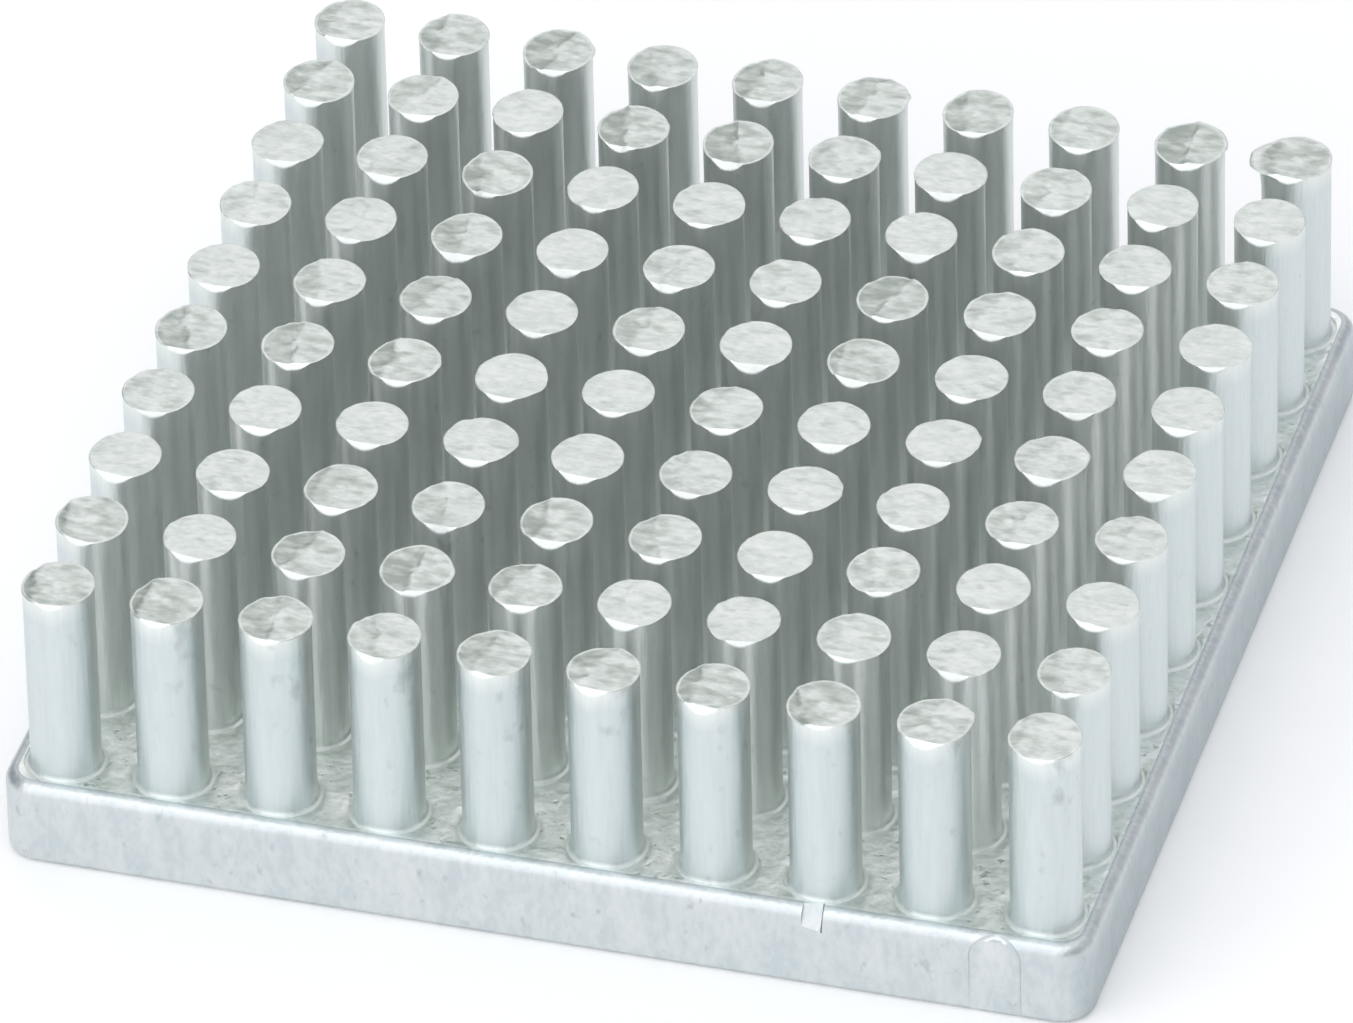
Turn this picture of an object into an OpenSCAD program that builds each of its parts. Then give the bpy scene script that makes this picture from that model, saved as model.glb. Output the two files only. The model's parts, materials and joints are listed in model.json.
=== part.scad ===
// Pin fin heat sink, forged cold from soft aluminium in one piece. A square
// plate carries a square field of round pins. The origin is at the middle of
// the flat underside, which seats on the chip, and the pins stand along +Z.

/* [Pin field] */
// Pins in each row along X
pins_x = 10; // [3:1:16]
// Pins in each row along Y
pins_y = 10; // [3:1:16]
// Distance between the axes of neighbouring pins
pin_pitch = 5; // [4.6:0.1:9]
// Diameter of a pin
pin_d = 3.2; // [2.4:0.1:3.8]
// Height of a pin above the plate
pin_h = 9.7; // [4:0.1:30]
// Radius of the fillet where a pin grows out of the plate
root_r = 0.25; // [0.1:0.05:0.35]

/* [Sheared pin tops] */
// Radius of the rounded rim of a pin top
rim_r = 0.12; // [0.05:0.01:0.3]
// How far the rolled-over front edge reaches back over the top
roll_back = 0.3; // [0.15:0.05:0.6]
// How far the rolled-over front edge reaches down the pin
roll_drop = 0.38; // [0.2:0.02:0.8]

/* [Plate] */
// Thickness of the plate
plate_t = 4.2; // [2.4:0.1:10]
// Distance from the axes of the outermost pins to the edge of the plate
edge_margin = 2.5; // [2.3:0.1:12]
// Radius of the plate's four upright corners
corner_r = 1.6; // [1.1:0.1:2.2]
// Radius along the top edge of the plate
top_edge_r = 0.6; // [0.2:0.1:1]
// Radius along the bottom edge of the plate
bottom_edge_r = 0.4; // [0.2:0.1:0.8]

/* [Marks on the front face] */
// Width of the round-topped dent that a gripper left in the front face
dent_w = 1.95; // [1:0.05:3]
// Depth of that dent
dent_depth = 0.06; // [0.04:0.01:0.4]
// How far the top of that dent stays below the top of the plate
dent_below = 0.1; // [0:0.05:1]
// Radius of the groove that runs round that dent
seam_r = 0.1; // [0.05:0.01:0.2]
// Distance of that dent from the axes of the last column of pins
dent_inset = 1.7; // [1:0.1:4]
// Width of the small flat that a knock left across the top edge
flat_w = 0.95; // [0.4:0.05:1.4]
// How far below the top of the plate that flat starts
flat_drop = 1.1; // [0.6:0.1:1.8]
// How far that flat leans back from upright, in degrees
flat_lean = 30; // [15:1:50]
// Distance of that flat from the axes of the last column of pins
flat_inset = 10; // [4:0.5:14]

/* [Hidden] */
$fn = 48;

pin_r = pin_d / 2;
plate_w = (pins_x - 1) * pin_pitch + 2 * edge_margin;
plate_l = (pins_y - 1) * pin_pitch + 2 * edge_margin;
// The fillet dips this far into the plate, so that the faces cross and don't
// just touch, and each pin starts a little under the plate's top
fillet_dip = 0.02;
pin_seat = 0.5;
// How far a cut runs on past the face that it starts from
overcut = 1;

// Place of a column or row along its axis, from the middle of the field
function place(index, count) = (index - (count - 1) / 2) * pin_pitch;

// What rounding takes off a square corner: all that lies up and right of the
// origin, outside the circle
module corner_waste(radius) {
    difference() {
        square(radius + overcut);
        circle(radius);
    }
}

// Half section of a pin, from its axis outward, with z = 0 at the plate's top
module pin_section() {
    difference() {
        translate([0, -pin_seat]) square([pin_r, pin_h + pin_seat]);
        translate([pin_r - rim_r, pin_h - rim_r]) corner_waste(rim_r);
    }
    difference() {
        translate([0, -pin_seat]) square([pin_r + root_r, pin_seat + root_r - fillet_dip]);
        translate([pin_r + root_r, root_r - fillet_dip]) circle(root_r);
    }
}

// What the shear blade pressed off the front edge of a pin top: the room above
// a slope that runs from the top down to the front of the pin
module rolled_edge() {
    slope = atan2(roll_drop, roll_back);
    reach = 2 * norm([roll_drop, roll_back]);
    translate([-pin_r, roll_back - pin_r, pin_h])
        rotate([slope, 0, 0]) translate([0, -reach, 0]) cube([pin_d, reach, reach]);
}

// One pin on the origin
module pin() {
    difference() {
        rotate_extrude() pin_section();
        rolled_edge();
    }
}

// Every pin of the field, standing on the plate
module pin_field() {
    for (column = [0 : pins_x - 1], row = [0 : pins_y - 1])
        translate([place(column, pins_x), place(row, pins_y), plate_t]) pin();
}

// Section of the plate from x = 0 out to an edge, with that edge rounded
module edge_section(reach) {
    difference() {
        square([reach, plate_t]);
        translate([reach - top_edge_r, plate_t - top_edge_r]) corner_waste(top_edge_r);
        translate([reach - bottom_edge_r, bottom_edge_r]) mirror([0, 1]) corner_waste(bottom_edge_r);
    }
}

// A bar along X with the plate's edge section on both of its long sides
module rounded_bar(length, width) {
    rotate([90, 0, 90]) translate([0, 0, -length / 2]) linear_extrude(length) {
        edge_section(width / 2);
        mirror([1, 0]) edge_section(width / 2);
    }
}

// The plate: two crossed bars and four round corner posts, all of one section
module plate() {
    corner_x = plate_w / 2 - corner_r;
    corner_y = plate_l / 2 - corner_r;
    rounded_bar(2 * corner_x, plate_l);
    rotate([0, 0, 90]) rounded_bar(2 * corner_y, plate_w);
    for (side_x = [-1, 1], side_y = [-1, 1])
        translate([side_x * corner_x, side_y * corner_y])
            rotate_extrude() edge_section(corner_r);
}

// Groove along the outline of the dent: half a ring on two straight legs
module dent_seam(leg) {
    rotate_extrude(angle = 180) translate([dent_w / 2, 0]) circle(seam_r);
    for (side = [-1, 1])
        translate([side * dent_w / 2, 0]) rotate([90, 0, 0]) cylinder(r = seam_r, h = leg);
}

// Shallow round-topped dent in the front face, open at the underside
module gripper_dent() {
    round_z = plate_t - dent_below - dent_w / 2;
    leg = round_z + overcut;
    translate([place(pins_x - 1, pins_x) - dent_inset, -plate_l / 2, round_z]) rotate([90, 0, 0]) {
        translate([0, 0, -dent_depth]) linear_extrude(dent_depth + overcut) {
            circle(d = dent_w);
            translate([-dent_w / 2, -leg]) square([dent_w, leg]);
        }
        dent_seam(leg);
    }
}

// Flat across the top edge, which leans back from the front face
module struck_flat() {
    height = (flat_drop + overcut) / cos(flat_lean);
    translate([place(pins_x - 1, pins_x) - flat_inset - flat_w / 2, -plate_l / 2, plate_t - flat_drop])
        rotate([-flat_lean, 0, 0]) translate([0, -height, 0]) cube([flat_w, height, height]);
}

// The marks are taken out of the plate alone, so that they leave the pins whole
module heat_sink() {
    color([0.84, 0.87, 0.87]) {
        difference() {
            plate();
            gripper_dent();
            struck_flat();
        }
        pin_field();
    }
}

heat_sink();
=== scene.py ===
import json
import math

import bmesh
import bpy
import numpy as np
from mathutils import Matrix, Vector

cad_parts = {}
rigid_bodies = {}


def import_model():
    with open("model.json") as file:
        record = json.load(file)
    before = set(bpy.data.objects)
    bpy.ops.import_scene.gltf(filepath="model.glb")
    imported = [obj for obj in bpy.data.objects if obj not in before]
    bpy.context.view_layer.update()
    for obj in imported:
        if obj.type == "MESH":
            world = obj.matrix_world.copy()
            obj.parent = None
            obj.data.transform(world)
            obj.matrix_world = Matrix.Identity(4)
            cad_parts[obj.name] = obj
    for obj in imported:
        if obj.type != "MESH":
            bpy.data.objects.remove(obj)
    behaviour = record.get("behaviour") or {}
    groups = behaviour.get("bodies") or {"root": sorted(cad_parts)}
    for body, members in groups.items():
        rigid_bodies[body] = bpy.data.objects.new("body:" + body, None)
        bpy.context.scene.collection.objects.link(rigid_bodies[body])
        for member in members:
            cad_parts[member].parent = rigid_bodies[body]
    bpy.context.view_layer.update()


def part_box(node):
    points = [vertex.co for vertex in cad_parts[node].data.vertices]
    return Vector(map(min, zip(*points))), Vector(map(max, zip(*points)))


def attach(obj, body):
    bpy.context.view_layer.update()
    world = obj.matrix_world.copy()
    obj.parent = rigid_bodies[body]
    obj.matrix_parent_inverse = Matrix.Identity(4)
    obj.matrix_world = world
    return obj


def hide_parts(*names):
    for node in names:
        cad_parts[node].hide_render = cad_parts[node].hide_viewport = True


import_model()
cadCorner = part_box("heat_sink")[1]
print("frame loaded")

mm = 0.001


def srgbToLinear(hexColour):
    # Each channel c becomes c / 12.92 when dark, else ((c + 0.055) / 1.055) ** 2.4
    channels = [int(hexColour[i : i + 2], 16) / 255 for i in (1, 3, 5)]
    linear = [c / 12.92 if c < 0.04045 else ((c + 0.055) / 1.055) ** 2.4 for c in channels]
    return (*linear, 1.0)


def smoothNoise(x, y, size, seed):
    # Random heights from -1 to 1 stand on a square lattice with cells of that
    # size, and a point between them takes the mix of its four neighbours,
    # weighted by the smooth step 3t^2 - 2t^3 of its place in the cell
    cells = 256  # the lattice starts again after so many
    heights = np.random.default_rng(seed).uniform(-1, 1, (cells, cells))
    u, v = x / size, y / size
    i, j = np.floor(u).astype(int), np.floor(v).astype(int)
    s, t = (f * f * (3 - 2 * f) for f in (u - i, v - j))
    i, j, nextI, nextJ = i % cells, j % cells, (i + 1) % cells, (j + 1) % cells
    near = heights[i, j] * (1 - s) + heights[nextI, j] * s
    far = heights[i, nextJ] * (1 - s) + heights[nextI, nextJ] * s
    return near * (1 - t) + far * t


def smoothStep(start, end, value):
    # 3t^2 - 2t^3 of how far the value has come from start to end
    t = np.clip((value - start) / (end - start), 0, 1)
    return t * t * (3 - 2 * t)


def bump(distance, width):
    # cos^2 of a quarter turn per width: 1 in the middle, 0 from the width on
    return np.cos(np.clip(distance / width, -1, 1) * math.pi / 2) ** 2


# The forged body: a plate and its field of pins, in one closed surface

plate = {
    "thickness": 4.2 * mm,
    "cornerRadius": 1.6 * mm,
    "topEdgeRadius": 0.6 * mm,
    "bottomEdgeRadius": 0.4 * mm,
    "floorRelief": 0.025 * mm,  # how uneven the forged floor between the pins is
    "floorLumps": (1.1 * mm, 0.45 * mm),  # widths of its coarse and fine lumps
    "fineShare": 0.6,  # height of the fine lumps, in coarse ones
    "floorFade": 0.5 * mm,  # the floor evens out over this width before the edge
    # Where the rings round the edge lie: down the top edge in degrees, down the
    # upright face, round the bottom edge, and how far the last one is underneath
    "topTurns": (18, 36, 54, 72, 90),
    "faceShares": (0.25, 0.5, 0.75),
    "bottomTurns": (0, 22.5, 45, 67.5, 90),
    "underReach": 0.3 * mm,
    "seed": 11,
}
pins = {
    "columns": 10,
    "rows": 10,
    "radius": 1.6 * mm,
    "rootRadius": 0.25 * mm,
    "rootGroove": 0.085 * mm,  # depth of the die's mark round each root
    "rimRadius": 0.055 * mm,
    "neckBelow": 0.05 * mm,  # least height of the rim under the rolled-over edge
    "segments": 48,  # a multiple of 8, because a pin's cell is a square
    # Where the rings of a pin lie: over the floor from the cell's border to the
    # root, round the root fillet in degrees, up the shaft to where it may widen,
    # and over the top from its outline to its middle
    "floorShares": (0, 0.4, 0.75, 1),
    "filletTurns": (35, 65, 90),
    "shaftShare": 0.9,
    "topShares": (0.97, 0.87, 0.73, 0.57, 0.4, 0.2),
}
# The rings of a rim: how far in from the shaft, in rim radii, and how much of
# the swell and the burr pushes them out and down
rimRings = {
    "neck": (0, 0.15, 0.65),
    "lip": (0.3, 1, 0.1),
    "crown": (1, 0.85, 0),
    "outline": (1.3, 0.6, 0),
}
# What shearing the pins to length did to their tops, with turns in radians
tops = {
    "below": 0.13 * mm,  # mean depth of the tops' middles under the CAD pins' tops
    "heightSpread": 0.04 * mm,
    "tilt": 0.02,  # most that a top slopes at random, as rise over run
    "lean": 0.065,  # every top slopes down towards the front by this much more
    "highest": 0.04 * mm,  # how far a ragged top may stand over the CAD pins
    "rollBack": 0.2 * mm,  # the rolled-over front edge reaches this far back
    "rollDrop": 0.28 * mm,  # and this far down
    "rollBackSpread": 0.3,  # most that chance changes its reach back, as a share
    "rollSlopeSpread": 0.15,  # and its slope
    "rollTurn": 0.16,  # most that the rolled-over edge turns from the front
    "relief": 0.025 * mm,  # height of the drag marks
    "streakWidth": 0.3 * mm,
    "streakStretch": 0.35,  # the smaller, the longer the drag marks along X
    "roughWidth": 0.35 * mm,
    "roughGain": 2,  # how much rougher a torn part is than the drag marks
    "tearTurn": 0.5,  # most that the line where a tear starts turns from Y
    "tearPlace": (-0.3, 0.35),  # mean and spread of its place along X, in pin radii
    "tearWander": 0.2 * mm,  # how far it wanders to both sides
    "wanderWidth": 0.5 * mm,
    "tearWidth": 0.12 * mm,  # half the width of the step down to the torn part
    "stepDepth": 0.08 * mm,  # the torn part of a top lies this much lower
    "ridge": 0.06 * mm,  # height of the ragged ridge where the tear starts
    "ridgeWidth": 0.16 * mm,
    "outerTear": 0.55,  # least share of the full tear in the front and back rows
    "swell": 0.05 * mm,  # how far every rim was pressed out over its shaft
    "burrReach": 0.26 * mm,
    "burrShare": 0.6,  # share of the pins that have a burr
    "burrDirection": (0.1, 0.4),  # mean and spread, from +X
    "burrWidth": (0.6, 0.5),  # least half width along the rim, and what chance adds
    "burrRagged": (0.75, 0.45),  # mean of its ragged reach, and what chance changes
    "raggedWidth": 0.22,
    "middleBurr": 0.65,  # reach of burrs at the middle, 1 being that at the right side
    "seed": 5,
}
# The back right pin was sheared the other way: it has a smooth round lip
# towards -X and a raised rim
backRightTop = {
    "lipDirection": math.pi * 1.06,
    "lipWidth": 1.1,
    "lipReach": 0.68 * mm,
    "lipRagged": 0.15,  # how ragged its edge is, 1 being an ordinary burr
    "rimHeight": 0.07 * mm,
    "rimWidth": (0.62, 0.85),  # it starts to rise and is full, in pin radii
}
# The front row was knocked about in the tumbler, mostly on its right front
scuffs = {"direction": -0.85, "width": 0.9, "least": 0.2}

half, cadTop = cadCorner.x, cadCorner.z
inner = half - plate["cornerRadius"]  # the centres of the corners lie this far out
floorArc = plate["cornerRadius"] - plate["topEdgeRadius"]  # radius of the floor's corners
pitch = 2 * half / pins["columns"]
segments = pins["segments"]
sideSteps = segments // 4
filletStart = len(pins["floorShares"])  # number of the first ring of the fillet
shaftStart = filletStart + len(pins["filletTurns"])
sideZone, floorZone, shaftZone, topZone = range(4)
rng = np.random.default_rng(tops["seed"])
pinShape = (pins["rows"], pins["columns"], 1)


def cellSteps(outer):
    # Places of a cell's border points from its middle to its corner. Inside the
    # field they are half a pitch times tan of even angles. Towards the edge of
    # the plate they are a short straight and then tan of even angles round the
    # plate's corner, so that the corner's arc gets even steps
    steps = sideSteps // 2
    if not outer:
        return pitch / 2 * np.tan(np.linspace(0, math.pi / 4, steps + 1))
    straight = pitch / 2 - plate["cornerRadius"]
    bend = floorArc * np.tan(np.linspace(0, math.pi / 4, steps - 1))
    return np.concatenate([[0, straight / 2], straight + bend])


def cellLines(count):
    # One row of border points for each cell along an axis: middle minus steps,
    # then middle plus steps
    middles = (np.arange(count) - (count - 1) / 2) * pitch
    lines = []
    for index, middle in enumerate(middles):
        before = cellSteps(index == 0)
        after = cellSteps(index == count - 1)
        lines.append(np.concatenate([middle - before[::-1], middle + after[1:]]))
    return middles, np.array(lines)


def roundCorners(points):
    # A point past both ends of the straights moves onto the arc about that
    # corner's centre, along the line to the centre
    centre = np.clip(points, -inner, inner)
    away = points - centre
    length = np.linalg.norm(away, axis=-1, keepdims=True)
    nearly, nothing = 0.999, 1e-9
    onEdge = np.abs(away).max(axis=-1, keepdims=True) > floorArc * nearly
    pastBoth = (np.abs(away) > nothing).all(axis=-1, keepdims=True)
    moved = centre + away * floorArc / np.where(length > 0, length, 1)
    return np.where(onEdge & pastBoth, moved, points)


def cellBorders(linesX, linesY):
    # Border points of every cell, anticlockwise from its low corner
    rows, columns = len(linesY), len(linesX)
    x = np.broadcast_to(linesX[None, :, :], (rows, columns, sideSteps + 1))
    y = np.broadcast_to(linesY[:, None, :], (rows, columns, sideSteps + 1))
    lowX, highX = (np.broadcast_to(x[..., [i]], x.shape) for i in (0, -1))
    lowY, highY = (np.broadcast_to(y[..., [i]], y.shape) for i in (0, -1))
    sides = [(x, lowY), (highX, y), (x[..., ::-1], highY), (lowX, y[..., ::-1])]
    border = [np.stack(side, -1)[..., :-1, :] for side in sides]
    return roundCorners(np.concatenate(border, axis=2))


def floorHeight(xy):
    # The plate's top plus two sizes of smooth noise, which fade to nothing
    # where the rounded edge starts
    toEdge = floorArc - np.linalg.norm(xy - np.clip(xy, -inner, inner), axis=-1)
    coarse, fine = (
        smoothNoise(xy[..., 0], xy[..., 1], size, plate["seed"] + k)
        for k, size in enumerate(plate["floorLumps"])
    )
    relief = plate["floorRelief"] * (coarse + plate["fineShare"] * fine)
    return plate["thickness"] + relief * smoothStep(0, plate["floorFade"], toEdge)


middleX, linesX = cellLines(pins["columns"])
middleY, linesY = cellLines(pins["rows"])
pinX = np.broadcast_to(middleX[None, :, None], pinShape)
pinY = np.broadcast_to(middleY[:, None, None], pinShape)
pinNumber = np.arange(pinX.size).reshape(pinShape)
angle = (np.arange(segments) / segments * 2 - 0.75) * math.pi  # from a cell's low corner on


def spread(amount):
    # One random number for each pin, from -amount to amount
    return rng.uniform(-amount, amount, pinShape)


def mostlySmall():
    # One random number for each pin, from 0 to 1: a power makes more of them
    # small
    power = 1.5
    return rng.uniform(0, 1, pinShape) ** power


topZ = cadTop - tops["below"] + spread(tops["heightSpread"])
tiltX, tiltY = spread(tops["tilt"]), tops["lean"] + spread(tops["tilt"])
rollAngle = -math.pi / 2 + spread(tops["rollTurn"])
# The chord is the straight back edge of a crescent, this far from the pin's axis
rollChord = pins["radius"] - tops["rollBack"] * (1 + spread(tops["rollBackSpread"]))
rollSlope = tops["rollDrop"] / tops["rollBack"] * (1 + spread(tops["rollSlopeSpread"]))
tearAngle = spread(tops["tearTurn"])
tearMean, tearSpread = tops["tearPlace"]
tearPlace = pins["radius"] * (spread(tearSpread) + tearMean)
outerTear = tops["outerTear"]
tearDepth = mostlySmall()  # share of the full tear that a top has
tearDepth[[0, -1]] = outerTear + (1 - outerTear) * tearDepth[[0, -1]]
burrMean, burrSpread = tops["burrDirection"]
burrAngle = spread(burrSpread) + burrMean
leastWidth, moreWidth = tops["burrWidth"]
burrWidth = leastWidth + rng.uniform(0, moreWidth, pinShape)
burrReach = tops["burrReach"] * mostlySmall()
burrReach = burrReach * (rng.uniform(0, 1, pinShape) < tops["burrShare"])
middleBurr = tops["middleBurr"]  # the blade dragged more metal along on the right
burrReach = burrReach * (middleBurr + (1 - middleBurr) * pinX / half)
burrRagged = np.ones(pinShape)
rimHeight = np.zeros(pinShape)
scuff = np.zeros(pinShape)
scuff[0] = rng.uniform(scuffs["least"], 1, (pins["columns"], 1))

burrAngle[-1, -1] = backRightTop["lipDirection"]
burrWidth[-1, -1] = backRightTop["lipWidth"]
burrReach[-1, -1] = backRightTop["lipReach"]
burrRagged[-1, -1] = backRightTop["lipRagged"]
rimHeight[-1, -1] = backRightTop["rimHeight"]

noisePlace = pinNumber * 7.3 * mm  # each top takes its noise from a place of its own
toFront = np.cos(angle - rollAngle)
# From a pin's axis to the rim's foot and to the chord, which lies far outside
# the pin everywhere but in front
chordRadius = rollChord / np.maximum(toFront, 0.1)
rimFoot = pins["radius"] - pins["rimRadius"] * rimRings["outline"][0]


def topNoise(x, y, width, number):
    # Smooth noise of one of the widths above, with a seed of its own
    return smoothNoise(x, y, tops[width], tops["seed"] + number)


def tear(x, y):
    # Distance across the line where a top starts to be torn, which slants and
    # wanders, and the share 0 to 1 of the tear there
    wander = topNoise(y + noisePlace, noisePlace, "wanderWidth", 4) * tops["tearWander"]
    across = x * np.cos(tearAngle) + y * np.sin(tearAngle) - tearPlace + wander
    return across, smoothStep(tops["tearWidth"], -tops["tearWidth"], across)


def topRelief(x, y):
    # Height of a sheared top over its mean: a tilt, the lower torn part, a ridge
    # exp(-(distance / width)^2) along the tear, streaks that run mostly along X,
    # and the raised rim
    across, torn = tear(x, y)
    ridge = tops["ridge"] * np.exp(-((across / tops["ridgeWidth"]) ** 2)) * tearDepth
    otherPlace = noisePlace * 0.37  # so that the streaks come from another line
    streaks = topNoise(x * tops["streakStretch"] + noisePlace, y + otherPlace, "streakWidth", 1)
    rough = topNoise(x + noisePlace, y + noisePlace, "roughWidth", 2)
    relief = tops["relief"] * (streaks + torn * rough * tops["roughGain"])
    rim = rimHeight * smoothStep(*backRightTop["rimWidth"], np.hypot(x, y) / pins["radius"])
    step = tops["stepDepth"] * tearDepth * torn
    return tiltX * x + tiltY * y - step + ridge + relief + rim


def turnFrom(direction):
    # Turn from that direction to each point round a pin, from -pi to pi
    return (angle - direction + math.pi) % (2 * math.pi) - math.pi


def burr(share):
    # Share of the outward push of the rim: the swell, which is full everywhere
    # but towards the front, as 1 - toFront^2, and a bump about the burr's
    # direction, made ragged by noise along the rim
    place = pinNumber * 3.1  # and each rim too
    mean, change = tops["burrRagged"]
    ragged = mean + change * burrRagged * topNoise(angle + place, place, "raggedWidth", 3)
    swell = tops["swell"] * (1 - np.maximum(toFront, 0) ** 2)
    return share * (burrReach * bump(turnFrom(burrAngle), burrWidth) * ragged + swell)


def pinRings():
    # Each ring is a list of points round every pin, and the rings follow the
    # half section of cell border, floor, fillet, shaft, rim and top. Where the
    # front edge is rolled over, a ring drops by (r cos t - d) * slope beyond the
    # chord at distance d from the axis, t being the turn from the front
    border = cellBorders(linesX, linesY)
    middles = np.stack([pinX, pinY], -1)
    ray = np.stack([np.cos(angle), np.sin(angle)], -1)
    rings = []

    def addRing(xy, z):
        rings.append(np.concatenate([xy, z[..., None]], -1))

    rootOuter = pins["radius"] + pins["rootRadius"]
    for share in pins["floorShares"]:
        xy = border + (middles + ray * rootOuter - border) * share
        addRing(xy, floorHeight(xy) - pins["rootGroove"] * (share == 1))
    floor = rings[-1][..., 2]
    for turn in np.radians(pins["filletTurns"]):
        radius = rootOuter - pins["rootRadius"] * math.sin(turn)
        addRing(middles + ray * radius, floor + pins["rootRadius"] * (1 - math.cos(turn)))
    shaftFoot = rings[-1][..., 2]

    def rolled(radius):
        return np.maximum(radius * toFront - rollChord, 0) * rollSlope

    def topRing(radius, drop):
        radius = np.broadcast_to(radius, drop.shape)
        x, y = radius * np.cos(angle), radius * np.sin(angle)
        z = topZ + topRelief(x, y) - drop
        return np.stack([pinX + x, pinY + y, np.minimum(z, cadTop + tops["highest"])], -1)

    def rimRing(name, radius, drop):
        outShare, downShare = rimRings[name][1:]
        return topRing(radius + burr(outShare), drop + burr(downShare))

    # The neck under the rim, after the shaft's last ring, the lip, where the rim
    # is widest, its crown, and the outline of the flat top
    radius, rim = pins["radius"], pins["rimRadius"]
    neck = rimRing("neck", radius, np.maximum(rim, rolled(radius) + pins["neckBelow"]))
    shaftTop = shaftFoot + (neck[..., 2] - shaftFoot) * pins["shaftShare"]
    addRing(middles + ray * radius, shaftTop)
    rings.append(neck)
    lipInward = rim * rimRings["lip"][0]
    lip = radius - lipInward
    rings.append(rimRing("lip", lip, np.maximum(lipInward, rolled(lip))))
    crown = radius - rim * rimRings["crown"][0]
    rings.append(rimRing("crown", crown, rolled(crown)))
    outline = np.minimum(rimFoot, chordRadius)
    level = 0 * outline
    rings.append(rimRing("outline", outline, level))
    capStart = len(rings) - 1
    for share in pins["topShares"]:
        rings.append(topRing(outline * share, level))
    return rings, capStart, topRing(level, level).mean(axis=2)


def wearOf(rings, capStart):
    # Share 0 to 1 of wear at the points of each ring: none as far as the foot of
    # the shafts, then the scuffs, none at the tops' outlines, and on the tops
    # half of their share of the tear, or all of it where the top is torn
    scuffed = scuff * bump(turnFrom(scuffs["direction"]), scuffs["width"])
    unworn = 0 * scuffed
    wear = [unworn] * shaftStart + [scuffed] * (capStart - shaftStart) + [unworn]
    for ring in rings[capStart + 1 :]:
        torn = tear(ring[..., 0] - pinX, ring[..., 1] - pinY)[1]
        wear.append(tearDepth * (0.5 + 0.5 * torn))
    return wear


def crescentFaces():
    # Which faces along a rim belong to the rolled-over edge: those with an end
    # where the chord lies inside the rim
    onChord = chordRadius < rimFoot
    return (onChord | np.roll(onChord, -1, -1)).ravel()


# Where tumbling dulled the outer shafts, and where painted shade darkens the plate's right side
tumbleAndSideShadeZones = {
    "pinStart": 0.2 * mm,  # shafts start to be duller this far inside the outer axes
    "pinFull": 0.6,  # and are dullest this far outside them, in pin radii
    "pinFade": (0.5 * mm, 1 * mm),  # depths under the pins' tops
    # The next four place the painted shade on the plate's right side
    "sideStart": 0.8,  # distance from the plate's right side, in corner radii
    "sideFull": 0.1 * mm,
    "edgeFade": (0.1 * mm, 0.3 * mm),  # depths under the rounded edge's top and foot
    "sideBelow": 0.02 * mm,  # what lies deeper under the plate's top is its side
}


def tumbleAndSideShadeOf(points):
    # Share 0 to 1 of a darker tint at each point. On the shafts it is where tumbling
    # dulled them: it rises over the outermost pins by the smooth step of the distance
    # from the middle, and fades below their tops. On the plate it is painted shade:
    # the smooth step of X over the right corners, which makes the right side darker,
    # and it fades over the rounded top edge
    x, z = points[:, 0], points[:, 2]
    farOut = np.abs(points[:, :2]).max(axis=1)
    outerAxis = half - pitch / 2
    pinFull = outerAxis + pins["radius"] * tumbleAndSideShadeZones["pinFull"]
    onPins = smoothStep(outerAxis - tumbleAndSideShadeZones["pinStart"], pinFull, farOut)
    fadeEnd, fadeStart = (cadTop - depth for depth in tumbleAndSideShadeZones["pinFade"])
    onPins = onPins * smoothStep(fadeEnd, fadeStart, z)
    sideStart = half - plate["cornerRadius"] * tumbleAndSideShadeZones["sideStart"]
    # Painted shade: a darker tint over the plate's right side
    paintedSideShade = smoothStep(sideStart, half - tumbleAndSideShadeZones["sideFull"], x)
    edgeTop, edgeFoot = plate["thickness"], plate["thickness"] - plate["topEdgeRadius"]
    fadeEnd, fadeStart = edgeTop - tumbleAndSideShadeZones["edgeFade"][0], edgeFoot - tumbleAndSideShadeZones["edgeFade"][1]
    paintedSideShade = paintedSideShade * smoothStep(fadeEnd, fadeStart, z)
    return np.where(z < edgeTop - tumbleAndSideShadeZones["sideBelow"], paintedSideShade, onPins)


def edgeRings():
    # The cell borders that lie on the rim of the field, in one loop, carried
    # out and down round the plate's edge: a quarter circle of the top radius,
    # the upright face, a quarter circle of the bottom radius, and a short way
    # in under the plate
    across = np.concatenate([linesX[:, :-1].ravel(), linesX[-1, -1:]])
    along = np.concatenate([linesY[:, :-1].ravel(), linesY[-1, -1:]])
    front = np.stack([across, np.full_like(across, along[0])], -1)[:-1]
    right = np.stack([np.full_like(along, across[-1]), along], -1)[:-1]
    back = np.stack([across[::-1], np.full_like(across, along[-1])], -1)[:-1]
    left = np.stack([np.full_like(along, across[0]), along[::-1]], -1)[:-1]
    loop = roundCorners(np.concatenate([front, right, back, left]))
    away = loop - np.clip(loop, -inner, inner)
    away = away / np.linalg.norm(away, axis=-1, keepdims=True)
    top, bottom = plate["topEdgeRadius"], plate["bottomEdgeRadius"]
    section = [(0, plate["thickness"])]
    for turn in np.radians(plate["topTurns"]):
        section.append((top * math.sin(turn), plate["thickness"] - top * (1 - math.cos(turn))))
    faceTop = section[-1][1]
    for share in plate["faceShares"]:
        section.append((top, faceTop + (bottom - faceTop) * share))
    for turn in np.radians(plate["bottomTurns"]):
        section.append((top - bottom * (1 - math.cos(turn)), bottom * (1 - math.sin(turn))))
    section.append((top - bottom - plate["underReach"], 0))
    rings = []
    for out, z in section:
        xy = loop + away * out
        rings.append(np.concatenate([xy, np.full((len(xy), 1), z)], -1))
    return rings


def bandFaces(first, second):
    # Quads between two closed rings of point numbers
    corners = [first, np.roll(first, -1, -1), np.roll(second, -1, -1), second]
    return np.stack(corners, -1).reshape(-1, 4)


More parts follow.
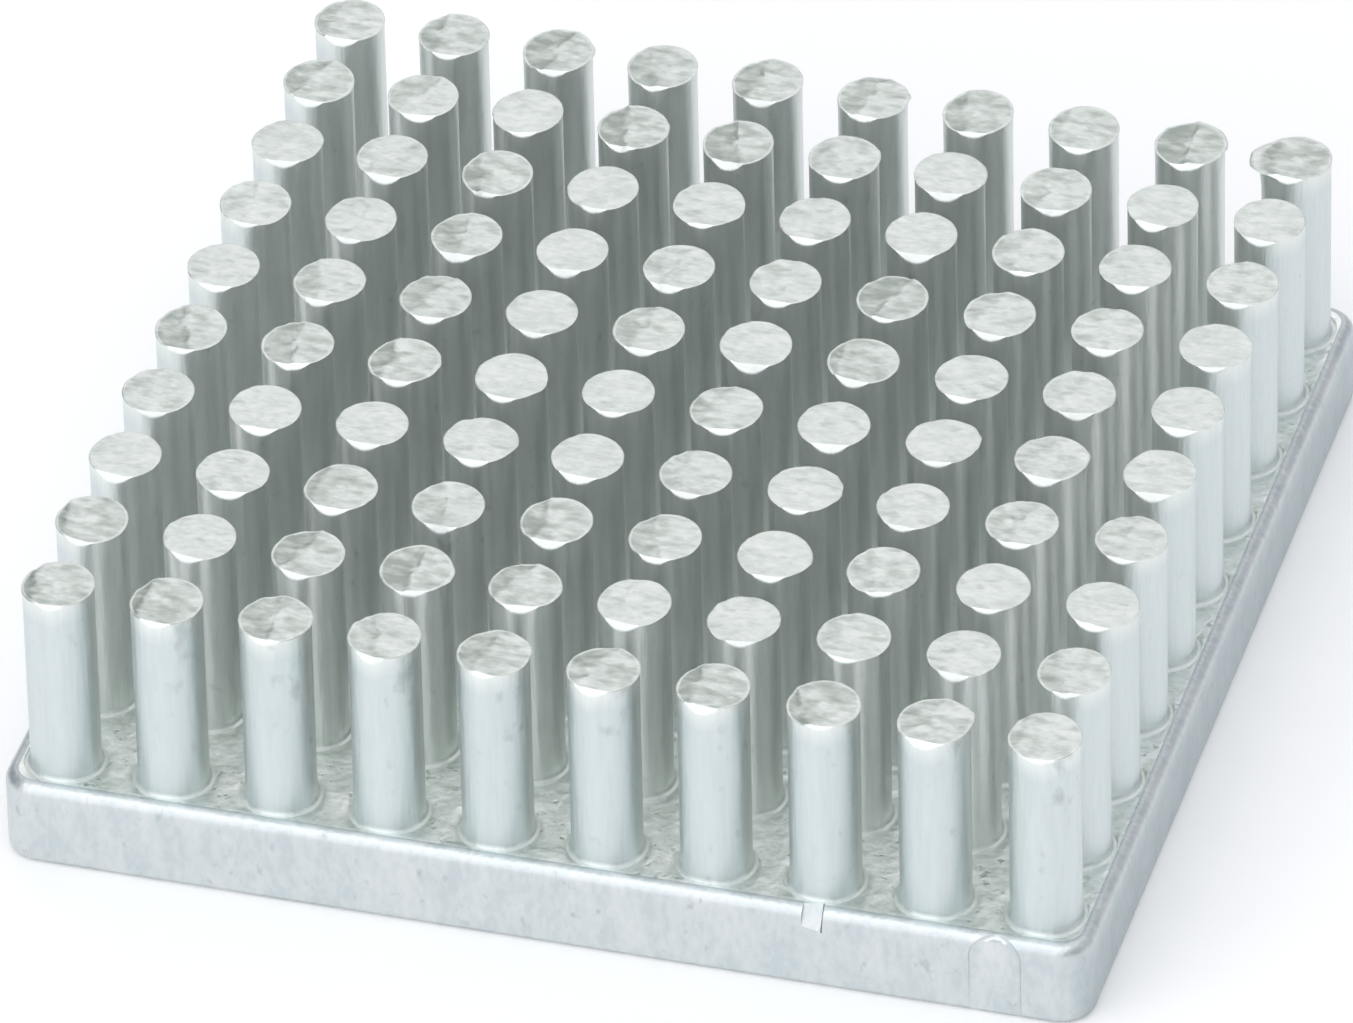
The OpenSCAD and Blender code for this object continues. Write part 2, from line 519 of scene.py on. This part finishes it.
def forgedBody():
    # Stacks all rings, joins them by bands, closes each top by a fan and the
    # underside by one face, and merges the points that neighbouring cells share.
    # Each face belongs to a zone, which has a finish of its own
    rings, capStart, centre = pinRings()
    edge = edgeRings()
    points = [ring.reshape(-1, 3) for ring in [*rings, centre, *edge]]
    numbers = np.arange(len(rings) * pinX.size * segments).reshape(len(rings), -1, segments)
    quads, zones = [], []
    for k in range(len(rings) - 1):
        quads.append(bandFaces(numbers[k], numbers[k + 1]))
        zone = floorZone if k < filletStart - 1 else shaftZone if k < capStart else topZone
        zones.append(np.full(len(quads[-1]), zone))
    # Of the rim's two upper bands, only the crescents look like the shafts
    rimZones = np.where(crescentFaces(), shaftZone, topZone)
    zones[capStart - 2] = zones[capStart - 1] = rimZones
    last = numbers[-1]
    hub = numbers.size + np.arange(pinX.size)[:, None]
    fans = np.stack([last, np.roll(last, -1, -1), np.broadcast_to(hub, last.shape)], -1)
    edgeStart = numbers.size + pinX.size
    loops = edgeStart + np.arange(len(edge) * len(edge[0])).reshape(len(edge), -1)
    for k in range(len(edge) - 1):
        quads.append(bandFaces(loops[k + 1], loops[k]))
        zones.append(np.full(len(quads[-1]), sideZone))
    points = np.round(np.concatenate(points), 9)  # to a nanometre
    merged, first, place = np.unique(points, axis=0, return_index=True, return_inverse=True)
    place = place.ravel()
    quads, fans = place[np.concatenate(quads)], place[fans.reshape(-1, 3)]
    under = place[loops[-1]][::-1]
    mesh = bpy.data.meshes.new("forgedBody")
    mesh.from_pydata(merged.tolist(), [], quads.tolist() + fans.tolist() + [under.tolist()])
    zones += [np.full(len(fans), topZone), [sideZone]]
    mesh.polygons.foreach_set("material_index", np.concatenate(zones).astype(np.int32))
    wear = np.concatenate([share.ravel() for share in wearOf(rings, capStart)])
    wear = np.pad(wear, (0, len(points) - len(wear)))[first]
    for name, values in (("wear", wear), ("tumbled", tumbleAndSideShadeOf(merged))):
        attribute = mesh.attributes.new(name, "FLOAT", "POINT")
        attribute.data.foreach_set("value", values.astype(np.float32))
    mesh.update()
    body = bpy.data.objects.new("forgedBody", mesh)
    bpy.context.scene.collection.objects.link(body)
    return body


# Marks that handling left on the front face: a round-topped gripper dent with
# a seam round it, open at the underside, and a flat struck across the top edge

frontMarks = {
    "dentWidth": 1.95 * mm,
    "dentDepth": 0.06 * mm,
    "dentBelow": 0.1 * mm,  # under the plate's top
    "dentPlace": 20.8 * mm,
    "seamRadius": 0.25 * mm,
    "seamDepth": 0.14 * mm,  # how far the seam's round groove goes in
    "flatWidth": 0.95 * mm,
    "flatPlace": 12.5 * mm,
    "flatDrop": 1.1 * mm,  # how far under the plate's top the flat starts
    "flatOver": 0.1 * mm,  # the cut runs on this far over the plate's top
    "flatLean": 30,  # degrees from upright
    # Across the flat, shares of its width from its middle, and how far it lies
    # under its own level there: it gets deeper and ends at a crease
    "flatProfile": [(-0.5, -0.1 * mm), (0.4, 0), (0.47, 0.1 * mm), (0.53, -0.35 * mm)],
    "dentTilt": 0.034,  # the dent gets this much deeper per unit of height
    "dentSteps": 33,
    "seamSides": 12,
    "overcut": 1 * mm,  # how far the cutting shapes stand out of the plate
}


def dentOutline():
    # middle + radius * (cos t, sin t) for t from 0 to pi, on two straight legs
    radius = frontMarks["dentWidth"] / 2
    turn = np.linspace(0, math.pi, frontMarks["dentSteps"])
    middleZ = plate["thickness"] - frontMarks["dentBelow"] - radius
    foot = -frontMarks["overcut"]
    x = np.concatenate([[radius], radius * np.cos(turn), [-radius]]) + frontMarks["dentPlace"]
    z = np.concatenate([[foot], middleZ + radius * np.sin(turn), [foot]])
    return x, z


def dentRings():
    # The outline at the depth of the dent, which grows with height, and in front
    x, z = dentOutline()
    depth = frontMarks["dentDepth"] + frontMarks["dentTilt"] * z
    outside = 0 * x - frontMarks["overcut"]
    return np.array([np.stack([x, y - half, z], -1) for y in (depth, outside)])


def seamRings():
    # A circle round each point of the path: point + radius * (cos p * outward
    # + sin p * Y), with outward square to the path in the front face. The path
    # keeps radius - depth off the surface, along its normal, and that surface
    # lies r - sqrt(r^2 - h^2) in, at height h over the start of the rounding
    x, z = dentOutline()
    r = plate["topEdgeRadius"]
    over = np.clip(z - plate["thickness"] + r, 0, r)
    flatPart = np.sqrt(r * r - over * over)
    above = (frontMarks["seamRadius"] - frontMarks["seamDepth"]) / r
    path = np.stack([x, r - flatPart * (1 + above) - half, z + over * above], -1)
    along = np.gradient(path, axis=0)
    along = along / np.linalg.norm(along, axis=1, keepdims=True)
    outward = np.stack([along[:, 2], 0 * x, -along[:, 0]], -1)
    p = np.linspace(0, 2 * math.pi, frontMarks["seamSides"], endpoint=False)[:, None]
    circle = np.cos(p) * outward[:, None, :] + np.sin(p) * np.array([0, 1, 0])
    return path[:, None, :] + frontMarks["seamRadius"] * circle


def flatRings():
    # Four corners at each place across the flat. The side that cuts leans back
    # from its foot on the front face, moved in by the depth there, and stops
    # just over the plate's top
    drop, reach = frontMarks["flatDrop"], frontMarks["overcut"]
    rise = drop + frontMarks["flatOver"]
    turn = math.radians(frontMarks["flatLean"])
    rings = []
    for share, depth in frontMarks["flatProfile"]:
        footY, footZ = depth * math.cos(turn), -depth * math.sin(turn)
        headY = footY + (rise - footZ) * math.tan(turn)
        corners = [(footY, footZ), (headY, rise), (-reach, rise), (-reach, footZ)]
        x = frontMarks["flatPlace"] + share * frontMarks["flatWidth"]
        rings.append([(x, y - half, z + plate["thickness"] - drop) for y, z in corners])
    return np.array(rings)


def cut(target, rings, name):
    # Takes the solid that runs through the rings out of the target
    numbers = np.arange(rings.shape[0] * rings.shape[1]).reshape(rings.shape[:2])
    faces = bandFaces(numbers[:-1], numbers[1:]).tolist() + numbers[[0, -1]].tolist()
    mesh = bpy.data.meshes.new(name)
    mesh.from_pydata(rings.reshape(-1, 3).tolist(), [], faces)
    solid = bmesh.new()
    solid.from_mesh(mesh)
    bmesh.ops.recalc_face_normals(solid, faces=solid.faces)
    solid.to_mesh(mesh)
    solid.free()
    tool = bpy.data.objects.new(name, mesh)
    bpy.context.scene.collection.objects.link(tool)
    modifier = target.modifiers.new(name, "BOOLEAN")
    modifier.operation = "DIFFERENCE"
    modifier.solver = "EXACT"
    modifier.object = tool
    bpy.context.view_layer.objects.active = target
    bpy.ops.object.modifier_apply(modifier=name)
    bpy.data.objects.remove(tool)
    bpy.data.meshes.remove(mesh)


def keepCrisp(mesh):
    # The flat leans so little that its edges are marked as sharp one by one. Its
    # normal is square to its slope, and turned by its slant across the width
    turn = math.radians(frontMarks["flatLean"])
    (start, startDepth), (end, endDepth) = frontMarks["flatProfile"][:2]
    slant = (endDepth - startDepth) / (end - start) / frontMarks["flatWidth"]
    normal = Vector((slant, -math.cos(turn), math.sin(turn))).normalized()
    sameWay = 0.9999
    for face in mesh.polygons:
        if face.normal.dot(normal) > sameWay:
            for corner in face.loop_indices:
                mesh.edges[mesh.loops[corner].edge_index].use_edge_sharp = True


body = forgedBody()
cut(body, dentRings(), "gripperDent")
cut(body, seamRings(), "gripperSeam")
cut(body, flatRings(), "struckFlat")
body.data.shade_smooth()
sharpAngle = math.radians(32)
body.data.set_sharp_from_angle(angle=sharpAngle)
keepCrisp(body.data)
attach(body, "root")
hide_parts("heat_sink")
print("forged body:", len(body.data.vertices), "points,", len(body.data.polygons), "faces")


# Finishes of the one forged body, in the order of its zones: plate sides, floor
# between the pins, shafts and sheared tops


def addNode(tree, kind, settings=None, **links):
    # One node with its settings and links. A socket goes by its name, with _ for
    # a space, or by its place, as in at_1, and stops are those of a colour ramp
    node = tree.nodes.new(kind)

    def socket(name):
        place = int(name[3:]) if name.startswith("at_") else name.replace("_", " ")
        return node.inputs[place]

    for name, value in (settings or {}).items():
        if name == "stops":
            elements = node.color_ramp.elements
            for extra in value[len(elements) :]:
                elements.new(extra[0])
            for element, (place, colour) in zip(elements, value):
                element.position, element.color = place, srgbToLinear(colour)
        elif hasattr(node, name):
            setattr(node, name, value)
        else:
            socket(name).default_value = value
    for name, source in links.items():
        tree.links.new(source, socket(name))
    return node.outputs


def newMaterial(name):
    material = bpy.data.materials.new(name)
    material.use_nodes = True
    material.node_tree.nodes.clear()
    return material, material.node_tree


def grain(tree, size):
    # Noise with lumps of that size in metres along X, Y and Z
    place = addNode(tree, "ShaderNodeTexCoord")["Object"]
    scaled = addNode(tree, "ShaderNodeMapping", {"Scale": [1 / s for s in size]}, Vector=place)
    return addNode(tree, "ShaderNodeTexNoise", {"Scale": 1.0, "Detail": 2.0}, Vector=scaled[0])[0]


def metal(name, look):
    # Colour, roughness and height all follow the level, the mean of two grains,
    # the colour times a tint, from tumbling on the shafts and as painted shade on
    # the plate's right side, and marks stand where a third grain passes its limit,
    # which wear brings nearer
    material, tree = newMaterial(name)
    both = addNode(tree, "ShaderNodeMath", {"operation": "ADD"},
                   at_0=grain(tree, look["coarse"]), at_1=grain(tree, look["fine"]))
    level = addNode(tree, "ShaderNodeMath", {"operation": "MULTIPLY", "at_1": 0.5}, at_0=both[0])[0]
    worn = addNode(tree, "ShaderNodeAttribute", {"attribute_name": "wear"})["Fac"]
    marks = addNode(tree, "ShaderNodeMath", {"operation": "MULTIPLY_ADD", "at_1": look["wearGain"]},
                    at_0=worn, at_2=grain(tree, look["markSize"]))[0]
    limits = {"From_Min": look["markLimit"], "From_Max": look["markLimit"] + look["markFade"]}
    marked = addNode(tree, "ShaderNodeMapRange", limits, Value=marks)[0]
    fresh = addNode(tree, "ShaderNodeValToRGB", {"stops": look["colours"]}, Fac=level)[0]
    # Share of the tint: tumbling on the shafts, painted shade on the plate's right side
    outer = addNode(tree, "ShaderNodeAttribute", {"attribute_name": "tumbled"})["Fac"]
    tint = {"data_type": "RGBA", "blend_type": "MULTIPLY", "at_7": srgbToLinear(look["tumbleAndSideShadeTint"])}
    clean = addNode(tree, "ShaderNodeMix", tint, at_0=outer, at_6=fresh)[2]
    mark = {"data_type": "RGBA", "at_7": srgbToLinear(look["markColour"])}
    colour = addNode(tree, "ShaderNodeMix", mark, at_0=marked, at_6=clean)[2]
    levels = {"From_Min": 0.35, "From_Max": 0.65}  # nearly all of the level lies between
    ends = dict(zip(("To_Min", "To_Max"), look["roughness"]))
    rough = addNode(tree, "ShaderNodeMapRange", levels | ends, Value=level)[0]
    height = addNode(tree, "ShaderNodeMath", {"operation": "MULTIPLY_ADD", "at_1": -look["markDepth"]},
                     at_0=marked, at_2=level)[0]
    relief = addNode(tree, "ShaderNodeBump", {"Distance": look["bump"]}, Height=height)[0]
    shader = addNode(tree, "ShaderNodeBsdfPrincipled", {"Metallic": 1.0},
                     Base_Color=colour, Roughness=rough, Normal=relief)
    addNode(tree, "ShaderNodeOutputMaterial", Surface=shader[0])
    return material


# In each finish, the sizes of the grains are along X, Y and Z, colours stand at
# their level, roughness at a low and a high one, and marks reach their full
# colour at markLimit + markFade of their own grain

# Cold-forged pure aluminium, tumbled after forging: a satin, faintly cloudy
# pale grey with soft upright streaks and a few small darker specks
plateSides = {
    "coarse": (1.1 * mm, 1.1 * mm, 3 * mm),
    "fine": (0.3 * mm, 0.3 * mm, 0.6 * mm),
    "colours": [(0.38, "#CCD4D6"), (0.5, "#D5DBDC"), (0.62, "#DCE0E0")],
    # Painted shade: this tint darkens the plate's right side
    "tumbleAndSideShadeTint": "#E1E6E8",
    "roughness": (0.38, 0.46),
    "bump": 0.07 * mm,
    "markSize": (0.6 * mm, 0.6 * mm, 0.8 * mm),
    "markLimit": 0.65,
    "markFade": 0.25,
    "markColour": "#AAB2B5",
    "markDepth": 0.2,
    "wearGain": 0.0,
}

# Aluminium pressed against the worn face of the die: an uneven skin of small
# lumps, grey in the hollows, that glitters here and there
dieFloor = {
    "coarse": (1.3 * mm, 1.3 * mm, 1.3 * mm),
    "fine": (0.55 * mm, 0.55 * mm, 0.55 * mm),
    "colours": [(0.36, "#E0E6E1"), (0.5, "#F0F5F1"), (0.62, "#FBFDFB")],
    "tumbleAndSideShadeTint": "#FFFFFF",
    "roughness": (0.5, 0.34),
    "bump": 0.15 * mm,
    "markSize": (0.5 * mm, 0.5 * mm, 0.5 * mm),
    "markLimit": 0.64,
    "markFade": 0.12,
    "markColour": "#C3CBC5",
    "markDepth": 0.2,
    "wearGain": 0.0,
}

# Aluminium drawn up through the die: satin shafts with faint streaks along
# their length, and soft scuffs from tumbling on the outer ones
drawnShafts = {
    "coarse": (0.5 * mm, 0.5 * mm, 7 * mm),
    "fine": (0.22 * mm, 0.22 * mm, 1.6 * mm),
    "colours": [(0.38, "#E5EAE7"), (0.5, "#E9EEEB"), (0.62, "#EDF1EE")],
    "tumbleAndSideShadeTint": "#ECF0F3",
    "roughness": (0.42, 0.5),
    "bump": 0.04 * mm,
    "markSize": (0.8 * mm, 0.8 * mm, 1.2 * mm),
    "markLimit": 0.68,
    "markFade": 0.35,
    "markColour": "#AEB6B8",
    "markDepth": 0.1,
    "wearGain": 0.27,
}

# Bare aluminium where a blade sheared the pins to length: duller than the
# shafts, with short drag marks along the cut, and pitted where it tore
shearedFaces = {
    "coarse": (1.1 * mm, 0.7 * mm, 0.7 * mm),
    "fine": (0.45 * mm, 0.25 * mm, 0.25 * mm),
    "colours": [(0.36, "#D5DAD5"), (0.5, "#E0E5E0"), (0.62, "#E9EDE8")],
    "tumbleAndSideShadeTint": "#FFFFFF",
    "roughness": (0.42, 0.5),
    "bump": 0.08 * mm,
    "markSize": (0.9 * mm, 0.45 * mm, 0.45 * mm),
    "markLimit": 0.6,
    "markFade": 0.45,
    "markColour": "#A9B1AA",
    "markDepth": 0.1,
    "wearGain": 0.5,
}

body.data.materials.append(metal("coldForgedAluminiumSides", plateSides))
body.data.materials.append(metal("diePressedAluminiumFloor", dieFloor))
body.data.materials.append(metal("drawnAluminiumShafts", drawnShafts))
body.data.materials.append(metal("shearedAluminiumTops", shearedFaces))
print("materials done")

# Floor, light and camera

stage = {
    "floorSize": 1.6,
    "floorBelow": 0.01 * mm,  # so that the floor and the underside don't share a plane
    "floorColour": "#FAFAFA",
    "floorRoughness": 0.9,
    "floorLift": 0.1,  # brightness that the board adds of its own, to look white
    "worldColour": "#F6F8FF",
    "worldStrength": 0.38,
}


def paleFloor():
    # A level square sheet under the object, just below its underside
    reach = stage["floorSize"] / 2
    signs = ((-1, -1), (1, -1), (1, 1), (-1, 1))
    corners = [(x * reach, y * reach, -stage["floorBelow"]) for x, y in signs]
    mesh = bpy.data.meshes.new("paleFloor")
    mesh.from_pydata(corners, [], [(0, 1, 2, 3)])
    floor = bpy.data.objects.new("paleFloor", mesh)
    bpy.context.scene.collection.objects.link(floor)
    material, tree = newMaterial("mattPaintedBoard")
    path = addNode(tree, "ShaderNodeLightPath")
    seen = addNode(tree, "ShaderNodeMath", {"operation": "ADD"},
                   at_0=path["Is Camera Ray"], at_1=path["Is Glossy Ray"])
    seen = addNode(tree, "ShaderNodeMath", {"operation": "ADD", "use_clamp": True},
                   at_0=seen[0], at_1=path["Is Transmission Ray"])
    lift = addNode(tree, "ShaderNodeMath", {"operation": "MULTIPLY", "at_1": stage["floorLift"]},
                   at_0=seen[0])
    board = {
        "Base_Color": srgbToLinear(stage["floorColour"]),
        "Roughness": stage["floorRoughness"],
        "Emission_Color": (1, 1, 1, 1),
    }
    shader = addNode(tree, "ShaderNodeBsdfPrincipled", board, Emission_Strength=lift[0])
    addNode(tree, "ShaderNodeOutputMaterial", Surface=shader[0])
    mesh.materials.append(material)


def studioWorld():
    # Soft light from all round
    world = bpy.data.worlds.new("studioWorld")
    world.use_nodes = True
    tree = world.node_tree
    tree.nodes.clear()
    settings = {"Color": srgbToLinear(stage["worldColour"]), "Strength": stage["worldStrength"]}
    light = addNode(tree, "ShaderNodeBackground", settings)
    addNode(tree, "ShaderNodeOutputWorld", Surface=light[0])
    bpy.context.scene.world = world


lamps = {
    # name: (azimuth and elevation in degrees, distance, size, brightness, colour)
    "frontSoftbox": (-16, 40, 0.5, 0.75, 1.1, "#FCFDFF"),
    "topSoftbox": (0, 88, 0.5, 0.68, 0.57, "#FFFFFF"),
    "backSoftbox": (-164, 38, 0.5, 0.5, 0.6, "#FFFFFF"),
    "rightSoftbox": (105, 22, 0.5, 0.9, 0.3, "#F8FAFF"),
}


def directionAt(azimuth, elevation):
    # Away from the object: (sin a cos e, -cos a cos e, sin e), for angles in
    # degrees. Azimuth 0 is in front, and it grows towards +X
    a, e = math.radians(azimuth), math.radians(elevation)
    return Vector((math.sin(a) * math.cos(e), -math.cos(a) * math.cos(e), math.sin(e)))


def softbox(name, azimuth, elevation, distance, size, brightness, colour):
    # An area lamp that looks at the object, on a sphere about it. Its power is
    # brightness * pi * area
    away = directionAt(azimuth, elevation)
    light = bpy.data.lights.new(name, "AREA")
    light.shape, light.size = "SQUARE", size
    light.energy = brightness * math.pi * size**2
    light.color = srgbToLinear(colour)[:3]
    lamp = bpy.data.objects.new(name, light)
    lamp.location = away * distance
    lamp.rotation_mode = "QUATERNION"
    lamp.rotation_quaternion = (-away).to_track_quat("-Z", "Y")
    bpy.context.scene.collection.objects.link(lamp)


view = {
    "azimuth": 16.5,  # to the right of the front face, in degrees
    "elevation": 36.4,
    "roll": -1.3,
    "distance": 762 * mm,
    "lens": 449.5,  # focal length, in millimetres like the sensor's width
    "sensorWidth": 36.0,
    "clipNear": 0.01,
    "clipFar": 10,
    "aim": (-0.65 * mm, 0.0, 5.7 * mm),
}


def placeCamera():
    # The camera stands at the given angles and distance from its aim, and is
    # then rolled about its own line of sight
    back = directionAt(view["azimuth"], view["elevation"])
    azimuth, roll = math.radians(view["azimuth"]), math.radians(view["roll"])
    level = Vector((math.cos(azimuth), math.sin(azimuth), 0))
    upright = back.cross(level)
    right = level * math.cos(roll) + upright * math.sin(roll)
    up = upright * math.cos(roll) - level * math.sin(roll)
    data = bpy.data.cameras.new("camera")
    data.lens, data.sensor_width = view["lens"], view["sensorWidth"]
    data.clip_start, data.clip_end = view["clipNear"], view["clipFar"]
    camera = bpy.data.objects.new("camera", data)
    turn = Matrix((right, up, back)).transposed().to_4x4()
    camera.matrix_world = Matrix.Translation(Vector(view["aim"]) + back * view["distance"]) @ turn
    bpy.context.scene.collection.objects.link(camera)
    bpy.context.scene.camera = camera


paleFloor()
studioWorld()
for name, values in lamps.items():
    softbox(name, *values)
placeCamera()
bpy.context.scene.view_settings.view_transform = "Standard"
print("stage, lamps and camera done")
